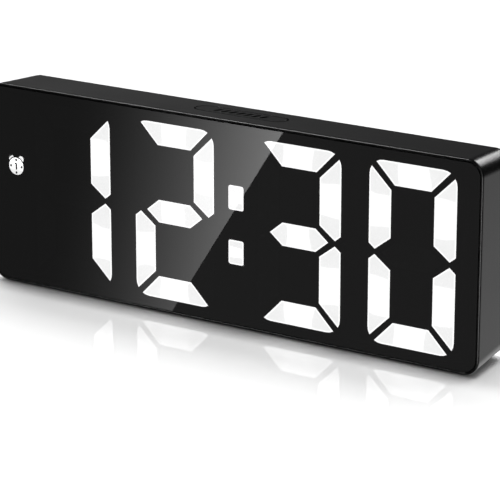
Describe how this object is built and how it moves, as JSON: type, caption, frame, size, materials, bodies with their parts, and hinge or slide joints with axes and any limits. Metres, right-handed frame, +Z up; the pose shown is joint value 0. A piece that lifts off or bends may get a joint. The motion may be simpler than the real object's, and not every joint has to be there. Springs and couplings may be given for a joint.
{
  "type": "digital alarm clock",
  "caption": "Low, wide free-standing alarm clock: smoked mirror front over lit seven-segment digits, snooze key on top, push keys, power inlet and hinged battery cover at the back.",
  "frame": {"origin": "centre of the footprint on the plane that the four rubber feet stand on", "axes": "+X to the right as the display is read, +Y from the front panel towards the back, +Z up"},
  "size_m": [0.1614, 0.0206, 0.0603],
  "materials": {
    "case_plastic": "satin black moulded ABS with a fine spark-eroded grain",
    "smoked_panel": "flat smoked acrylic with a mirror-like polish",
    "foam_tape": "black double-sided foam tape",
    "mask_plastic": "matt black reflector housing",
    "light_guide": "milky diffusing polycarbonate, lit white where a segment is on",
    "board_laminate": "green solder mask on glass-fibre laminate",
    "component_black": "black epoxy and nylon component bodies",
    "bright_steel": "bright zinc-plated steel",
    "capacitor_aluminium": "drawn aluminium can",
    "key_plastic": "satin black moulded key caps",
    "plunger_plastic": "black nylon",
    "contact_nickel": "nickel-plated spring steel",
    "cell_sleeve": "plain shrink-sleeved steel can, no print",
    "foot_rubber": "soft black rubber"
  },
  "bodies": {
    "case": {"case_shell": "case_plastic", "front_panel": "smoked_panel", "panel_tape": "foam_tape", "display_mask": "mask_plastic", "digit_1_light_guide": "light_guide", "digit_2_light_guide": "light_guide", "digit_3_light_guide": "light_guide", "digit_4_light_guide": "light_guide", "colon_light_guide": "light_guide", "alarm_sign_light_guide": "light_guide", "main_board": "board_laminate", "microcontroller": "component_black", "quartz_crystal": "bright_steel", "filter_capacitor": "capacitor_aluminium", "buzzer": "component_black", "temperature_sensor": "component_black", "board_screw_1": "bright_steel", "board_screw_2": "bright_steel", "board_screw_3": "bright_steel", "board_screw_4": "bright_steel", "snooze_switch_body": "component_black", "set_switch_body": "component_black", "alarm_switch_body": "component_black", "up_switch_body": "component_black", "down_switch_body": "component_black", "brightness_switch_body": "component_black", "rear_cover": "case_plastic", "battery_cell_1": "cell_sleeve", "battery_cell_2": "cell_sleeve", "battery_cell_3": "cell_sleeve", "battery_contact_positive": "contact_nickel", "battery_contact_negative": "contact_nickel", "battery_bridge_left": "contact_nickel", "battery_bridge_right": "contact_nickel", "usb_board": "board_laminate", "usb_socket_shell": "bright_steel", "usb_socket_tongue": "component_black", "cover_screw_1": "bright_steel", "cover_screw_2": "bright_steel", "cover_screw_3": "bright_steel", "cover_screw_4": "bright_steel", "foot_1": "foot_rubber", "foot_2": "foot_rubber", "foot_3": "foot_rubber", "foot_4": "foot_rubber"},
    "snooze_button": {"snooze_key": "key_plastic", "snooze_switch_plunger": "plunger_plastic"},
    "set_button": {"set_key": "key_plastic", "set_switch_plunger": "plunger_plastic"},
    "alarm_button": {"alarm_key": "key_plastic", "alarm_switch_plunger": "plunger_plastic"},
    "up_button": {"up_key": "key_plastic", "up_switch_plunger": "plunger_plastic"},
    "down_button": {"down_key": "key_plastic", "down_switch_plunger": "plunger_plastic"},
    "brightness_button": {"brightness_key": "key_plastic", "brightness_switch_plunger": "plunger_plastic"},
    "battery_cover": {"battery_door": "case_plastic"}
  },
  "joints": [
    {"name": "snooze_press", "type": "slide", "parent": "case", "child": "snooze_button", "axis": [0, 0, -1], "range_m": [0, 0.0006], "stiffness_N_per_m": 800, "springref_m": -0.0005},
    {"name": "set_press", "type": "slide", "parent": "case", "child": "set_button", "axis": [0, -1, 0], "range_m": [0, 0.0005], "stiffness_N_per_m": 700, "springref_m": -0.0005},
    {"name": "alarm_press", "type": "slide", "parent": "case", "child": "alarm_button", "axis": [0, -1, 0], "range_m": [0, 0.0005], "stiffness_N_per_m": 700, "springref_m": -0.0005},
    {"name": "up_press", "type": "slide", "parent": "case", "child": "up_button", "axis": [0, -1, 0], "range_m": [0, 0.0005], "stiffness_N_per_m": 700, "springref_m": -0.0005},
    {"name": "down_press", "type": "slide", "parent": "case", "child": "down_button", "axis": [0, -1, 0], "range_m": [0, 0.0005], "stiffness_N_per_m": 700, "springref_m": -0.0005},
    {"name": "brightness_press", "type": "slide", "parent": "case", "child": "brightness_button", "axis": [0, -1, 0], "range_m": [0, 0.0005], "stiffness_N_per_m": 700, "springref_m": -0.0005},
    {"name": "battery_cover_hinge", "type": "hinge", "parent": "case", "child": "battery_cover", "pos_m": [0.0355, 0.00912, 0.01145], "axis": [-1, 0, 0], "range_deg": [0, 75]}
  ]
}
